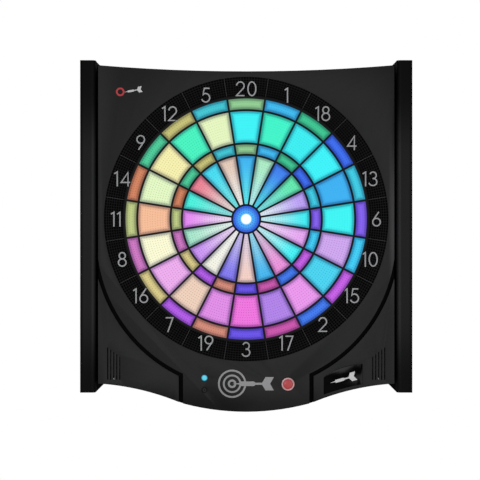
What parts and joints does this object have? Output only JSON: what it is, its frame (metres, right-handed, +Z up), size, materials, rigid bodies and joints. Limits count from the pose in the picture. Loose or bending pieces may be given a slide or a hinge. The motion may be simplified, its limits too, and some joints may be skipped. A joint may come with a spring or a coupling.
{
  "type": "electronic dartboard cabinet",
  "caption": "Wall-mounted electronic dartboard: a round scoring face of sprung, lit beds in a dark housing with side rails, speakers and control buttons.",
  "frame": {"origin": "on the wall, at the back face of the rear cover, straight behind the middle of the bull", "axes": "+X to the right and +Z up for somebody facing the board, -Y out of the wall towards the player"},
  "size_m": [0.54, 0.0619, 0.5717],
  "materials": {
    "case_black": "fine spark texture",
    "rail_black": "satin powder coat",
    "cap_black": "moulded",
    "bull_blue": "translucent",
    "bull_white": "translucent",
    "window_black": "polished",
    "button_red": "satin",
    "ring_silver": "plated",
    "lens_cyan": "translucent",
    "silicone": "soft",
    "film": "film",
    "clear_guide": "clear",
    "circuit_board": "solder mask",
    "led_white": "moulded",
    "chip_black": "moulded",
    "lead_black": "insulated",
    "zinc_steel": "zinc plated",
    "spring_steel": "drawn",
    "bed_20": "translucent, lit from behind",
    "bed_1": "translucent, lit from behind",
    "bed_18": "translucent, lit from behind",
    "bed_4": "translucent, lit from behind",
    "bed_13": "translucent, lit from behind",
    "bed_6": "translucent, lit from behind",
    "bed_10": "translucent, lit from behind",
    "bed_15": "translucent, lit from behind",
    "bed_2": "translucent, lit from behind",
    "bed_17": "translucent, lit from behind",
    "bed_3": "translucent, lit from behind",
    "bed_19": "translucent, lit from behind",
    "bed_7": "translucent, lit from behind",
    "bed_16": "translucent, lit from behind",
    "bed_8": "translucent, lit from behind",
    "bed_11": "translucent, lit from behind",
    "bed_14": "translucent, lit from behind",
    "bed_9": "translucent, lit from behind",
    "bed_12": "translucent, lit from behind",
    "bed_5": "translucent, lit from behind"
  },
  "bodies": {
    "cabinet": {"backing_plate": "cap_black", "board_screws": "zinc_steel", "button_board": "circuit_board", "button_board_parts": "chip_black", "corner_screws": "zinc_steel", "dc_inlet": "cap_black", "front_bezel": "case_black", "housing_screws": "zinc_steel", "internal_leads": "lead_black", "label_window": "window_black", "led_board": "circuit_board", "leds": "led_white", "left_bottom_cap": "cap_black", "left_corner_cover": "case_black", "left_pillar": "rail_black", "left_speaker": "cap_black", "left_top_cap": "cap_black", "light_guide": "clear_guide", "main_board": "circuit_board", "main_board_parts": "chip_black", "matrix_ribbon": "film", "number_ring": "cap_black", "rear_cover": "case_black", "return_mat": "silicone", "right_bottom_cap": "cap_black", "right_corner_cover": "case_black", "right_pillar": "rail_black", "right_speaker": "cap_black", "right_top_cap": "cap_black", "sensor_membrane": "film", "spider": "cap_black", "start_button_ring": "ring_silver", "start_button_spring": "spring_steel", "status_light": "lens_cyan", "target_screws": "zinc_steel", "wall_bracket": "zinc_steel"},
    "segments_20": {"segments_20": "bed_20"},
    "segments_1": {"segments_1": "bed_1"},
    "segments_18": {"segments_18": "bed_18"},
    "segments_4": {"segments_4": "bed_4"},
    "segments_13": {"segments_13": "bed_13"},
    "segments_6": {"segments_6": "bed_6"},
    "segments_10": {"segments_10": "bed_10"},
    "segments_15": {"segments_15": "bed_15"},
    "segments_2": {"segments_2": "bed_2"},
    "segments_17": {"segments_17": "bed_17"},
    "segments_3": {"segments_3": "bed_3"},
    "segments_19": {"segments_19": "bed_19"},
    "segments_7": {"segments_7": "bed_7"},
    "segments_16": {"segments_16": "bed_16"},
    "segments_8": {"segments_8": "bed_8"},
    "segments_11": {"segments_11": "bed_11"},
    "segments_14": {"segments_14": "bed_14"},
    "segments_9": {"segments_9": "bed_9"},
    "segments_12": {"segments_12": "bed_12"},
    "segments_5": {"segments_5": "bed_5"},
    "outer_bull": {"outer_bull": "bull_blue"},
    "inner_bull": {"inner_bull": "bull_white"},
    "start_button": {"start_button": "button_red"},
    "power_button": {"power_button": "cap_black"}
  },
  "joints": [
    {"name": "segments_20_press", "type": "slide", "parent": "cabinet", "child": "segments_20", "axis": [0, 1, 0], "range_m": [0, 0.0015], "stiffness_N_per_m": 2000},
    {"name": "segments_1_press", "type": "slide", "parent": "cabinet", "child": "segments_1", "axis": [0, 1, 0], "range_m": [0, 0.0015], "stiffness_N_per_m": 2000},
    {"name": "segments_18_press", "type": "slide", "parent": "cabinet", "child": "segments_18", "axis": [0, 1, 0], "range_m": [0, 0.0015], "stiffness_N_per_m": 2000},
    {"name": "segments_4_press", "type": "slide", "parent": "cabinet", "child": "segments_4", "axis": [0, 1, 0], "range_m": [0, 0.0015], "stiffness_N_per_m": 2000},
    {"name": "segments_13_press", "type": "slide", "parent": "cabinet", "child": "segments_13", "axis": [0, 1, 0], "range_m": [0, 0.0015], "stiffness_N_per_m": 2000},
    {"name": "segments_6_press", "type": "slide", "parent": "cabinet", "child": "segments_6", "axis": [0, 1, 0], "range_m": [0, 0.0015], "stiffness_N_per_m": 2000},
    {"name": "segments_10_press", "type": "slide", "parent": "cabinet", "child": "segments_10", "axis": [0, 1, 0], "range_m": [0, 0.0015], "stiffness_N_per_m": 2000},
    {"name": "segments_15_press", "type": "slide", "parent": "cabinet", "child": "segments_15", "axis": [0, 1, 0], "range_m": [0, 0.0015], "stiffness_N_per_m": 2000},
    {"name": "segments_2_press", "type": "slide", "parent": "cabinet", "child": "segments_2", "axis": [0, 1, 0], "range_m": [0, 0.0015], "stiffness_N_per_m": 2000},
    {"name": "segments_17_press", "type": "slide", "parent": "cabinet", "child": "segments_17", "axis": [0, 1, 0], "range_m": [0, 0.0015], "stiffness_N_per_m": 2000},
    {"name": "segments_3_press", "type": "slide", "parent": "cabinet", "child": "segments_3", "axis": [0, 1, 0], "range_m": [0, 0.0015], "stiffness_N_per_m": 2000},
    {"name": "segments_19_press", "type": "slide", "parent": "cabinet", "child": "segments_19", "axis": [0, 1, 0], "range_m": [0, 0.0015], "stiffness_N_per_m": 2000},
    {"name": "segments_7_press", "type": "slide", "parent": "cabinet", "child": "segments_7", "axis": [0, 1, 0], "range_m": [0, 0.0015], "stiffness_N_per_m": 2000},
    {"name": "segments_16_press", "type": "slide", "parent": "cabinet", "child": "segments_16", "axis": [0, 1, 0], "range_m": [0, 0.0015], "stiffness_N_per_m": 2000},
    {"name": "segments_8_press", "type": "slide", "parent": "cabinet", "child": "segments_8", "axis": [0, 1, 0], "range_m": [0, 0.0015], "stiffness_N_per_m": 2000},
    {"name": "segments_11_press", "type": "slide", "parent": "cabinet", "child": "segments_11", "axis": [0, 1, 0], "range_m": [0, 0.0015], "stiffness_N_per_m": 2000},
    {"name": "segments_14_press", "type": "slide", "parent": "cabinet", "child": "segments_14", "axis": [0, 1, 0], "range_m": [0, 0.0015], "stiffness_N_per_m": 2000},
    {"name": "segments_9_press", "type": "slide", "parent": "cabinet", "child": "segments_9", "axis": [0, 1, 0], "range_m": [0, 0.0015], "stiffness_N_per_m": 2000},
    {"name": "segments_12_press", "type": "slide", "parent": "cabinet", "child": "segments_12", "axis": [0, 1, 0], "range_m": [0, 0.0015], "stiffness_N_per_m": 2000},
    {"name": "segments_5_press", "type": "slide", "parent": "cabinet", "child": "segments_5", "axis": [0, 1, 0], "range_m": [0, 0.0015], "stiffness_N_per_m": 2000},
    {"name": "outer_bull_press", "type": "slide", "parent": "cabinet", "child": "outer_bull", "axis": [0, 1, 0], "range_m": [0, 0.0015], "stiffness_N_per_m": 2000},
    {"name": "inner_bull_press", "type": "slide", "parent": "cabinet", "child": "inner_bull", "axis": [0, 1, 0], "range_m": [0, 0.0015], "stiffness_N_per_m": 2000},
    {"name": "start_button_press", "type": "slide", "parent": "cabinet", "child": "start_button", "axis": [0, 1, 0], "range_m": [0, 0.002], "stiffness_N_per_m": 800, "deforming": ["start_button_spring"]},
    {"name": "power_button_press", "type": "slide", "parent": "cabinet", "child": "power_button", "axis": [0, 1, 0], "range_m": [0, 0.0015], "stiffness_N_per_m": 1500}
  ]
}
